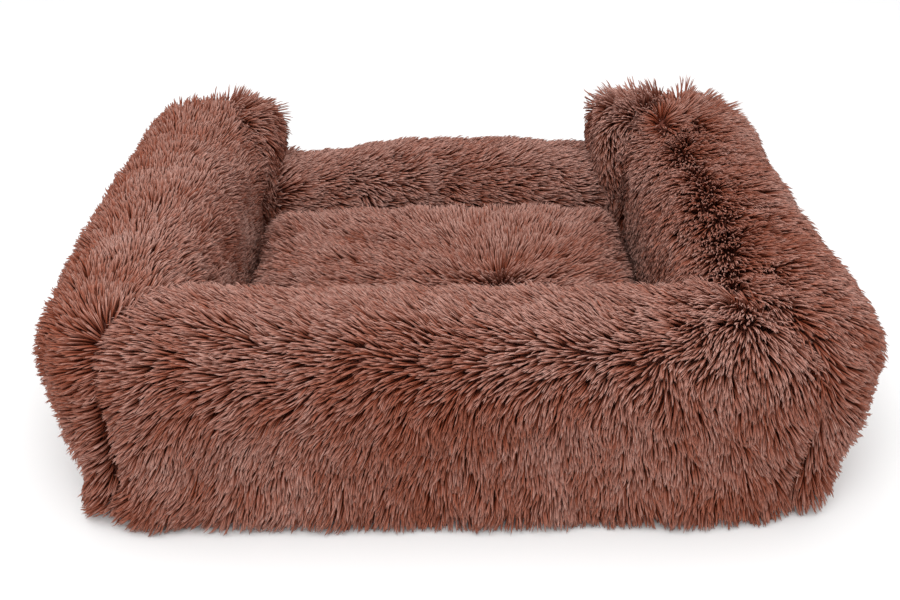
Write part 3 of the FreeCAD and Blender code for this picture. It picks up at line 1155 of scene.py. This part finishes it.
def make_grip_dots(low, high):
    """Low rubber domes under the base cloth, in staggered rows."""
    points = []
    faces = []
    last = len(GRIP_RINGS) - 1
    rows = int((high.y - low.y - 2 * GRIP_MARGIN) / GRIP_SPACING)
    columns = int((high.x - low.x - 2 * GRIP_MARGIN) / GRIP_SPACING)
    for row in range(rows):
        for column in range(columns):
            x = low.x + GRIP_MARGIN + (column + 0.5 * (row % 2)) * GRIP_SPACING
            y = low.y + GRIP_MARGIN + row * GRIP_SPACING
            first = len(points)
            for share, z in GRIP_RINGS:
                for side in range(GRIP_SIDES):
                    angle = side * 2 * math.pi / GRIP_SIDES
                    reach = GRIP_RADIUS * share
                    points.append((x + reach * math.cos(angle), y + reach * math.sin(angle), z))
            for ring in range(last):
                for side in range(GRIP_SIDES):
                    here = first + ring * GRIP_SIDES + side
                    beside = first + ring * GRIP_SIDES + (side + 1) % GRIP_SIDES
                    faces.append((here, here + GRIP_SIDES, beside + GRIP_SIDES, beside))
            faces.append(tuple(range(first, first + GRIP_SIDES)))
            bottom = first + last * GRIP_SIDES
            faces.append(tuple(reversed(range(bottom, bottom + GRIP_SIDES))))
    mesh = bpy.data.meshes.new("grip_dots")
    mesh.from_pydata(points, [], faces)
    dots = link("grip_dots", mesh, RUBBER)
    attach(dots, "bed")
    return dots


def make_floor_pad():
    """The wadding in the bed's floor and the quilted lining stretched over it."""
    low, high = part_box("base_wadding")
    outline = rounded_outline(low, high, LINING_CORNER_RADIUS, LAYER_SPACING)

    def wadding_top(points):
        return high.z - WADDING_LUMP * (1 - quilted(points))

    def wadding_bottom(points):
        return np.full(len(points), low.z + LAYER_CLEARANCE)

    wadding = make_layer("floor_wadding", outline, wadding_bottom, wadding_top, FLEECE)
    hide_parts("base_wadding")
    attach(wadding, "bed")

    def lining_bottom(points):
        return wadding_top(points) + LAYER_CLEARANCE

    def lining_top(points):
        return lining_bottom(points) + LINING_THICKNESS

    lining = make_layer("quilted_lining", outline, lining_bottom, lining_top, LINING)
    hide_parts("base_lining")
    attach(lining, "bed")


def make_cushion_underside():
    """The plain cloth under the cushion, drawn in at the tack, with piping in its edge seam."""
    low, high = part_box("cushion_underside")
    inset = Vector((UNDERSIDE_INSET, UNDERSIDE_INSET, 0))
    low, high = low + inset, high - inset
    outline = rounded_outline(low, high, CUSHION_CORNER_RADIUS, LAYER_SPACING)

    def bottom(points):
        away = np.hypot(points[:, 0] - TACK.x, points[:, 1] - TACK.y)
        sag = UNDERSIDE_WAVE * (1 + ripple(in_plan(points), *UNDERSIDE_RIPPLE))
        return low.z + LAYER_CLEARANCE + sag + UNDERSIDE_PUCKER * hump(away, 0, DIMPLE_REACH)

    def top(points):
        return bottom(points) + LINING_THICKNESS

    cloth = make_layer("cushion_base_cloth", outline, bottom, top, LINING)
    piping = make_tube("cushion_piping", outline, low.z + PIPING_RADIUS, PIPING_RADIUS, LINING)
    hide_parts("cushion_underside")
    for piece in (cloth, piping):
        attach(piece, "cushion")
    flat = cut_size(low, high)


def dress_tack():
    """Sewing thread for the tack, the one part that stays as it is."""
    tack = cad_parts["cushion_tack_stitch"]
    tack.data.materials.clear()
    tack.data.materials.append(THREAD)


# ---------------- stage, light and camera

def make_stage():
    material, _, shader = new_material("pale_floor", 0.9)
    shader.inputs["Base Color"].default_value = (0.93, 0.93, 0.93, 1)
    mesh = bpy.data.meshes.new("floor")
    half = 6.0
    level = -0.0003
    corners = [(-half, -half, level), (half, -half, level), (half, half, level), (-half, half, level)]
    mesh.from_pydata(corners, [], [(0, 1, 2, 3)])
    link("floor", mesh, material)
    world = bpy.data.worlds.new("studio")
    world.use_nodes = True
    background = world.node_tree.nodes["Background"]
    background.inputs["Color"].default_value = (1.0, 1.0, 1.0, 1)
    background.inputs["Strength"].default_value = 0.65
    bpy.context.scene.world = world


def make_light(name, place, target, size, power):
    lamp = bpy.data.lights.new(name, "AREA")
    lamp.size = size
    lamp.energy = power
    light = bpy.data.objects.new(name, lamp)
    light.location = place
    light.rotation_euler = (Vector(target) - Vector(place)).to_track_quat("-Z", "Y").to_euler()
    bpy.context.scene.collection.objects.link(light)


def make_camera():
    """Looks over the rear wall, 29 degrees down and a little from the left."""
    elevation = math.radians(29.3)
    aside = math.radians(0.95)
    distance = 0.951
    target = Vector((0, 0, 0.095))
    data = bpy.data.cameras.new("camera")
    data.sensor_width = 36
    data.lens = 44.4
    data.shift_x = -0.0034
    data.shift_y = -0.0593
    camera = bpy.data.objects.new("camera", data)
    level = Vector((-math.sin(aside), -math.cos(aside), 0))
    back = level * math.cos(elevation) + Vector((0, 0, math.sin(elevation)))
    camera.location = target + back * distance
    camera.rotation_euler = (-back).to_track_quat("-Z", "Y").to_euler()
    bpy.context.scene.collection.objects.link(camera)
    bpy.context.scene.camera = camera


for index, wall in enumerate(COMBS):
    make_wall(wall, 100 * (index + 1))
make_cushion()
make_base_cloth()
make_floor_pad()
make_cushion_underside()
dress_tack()
make_stage()
make_light("key", (-0.2, -1.1, 1.5), (0, 0, 0.05), 1.2, 14)
make_light("top", (0.0, 0.0, 2.6), (0, 0, 0), 4.0, 48)
make_camera()
bpy.context.scene.view_settings.view_transform = "Standard"
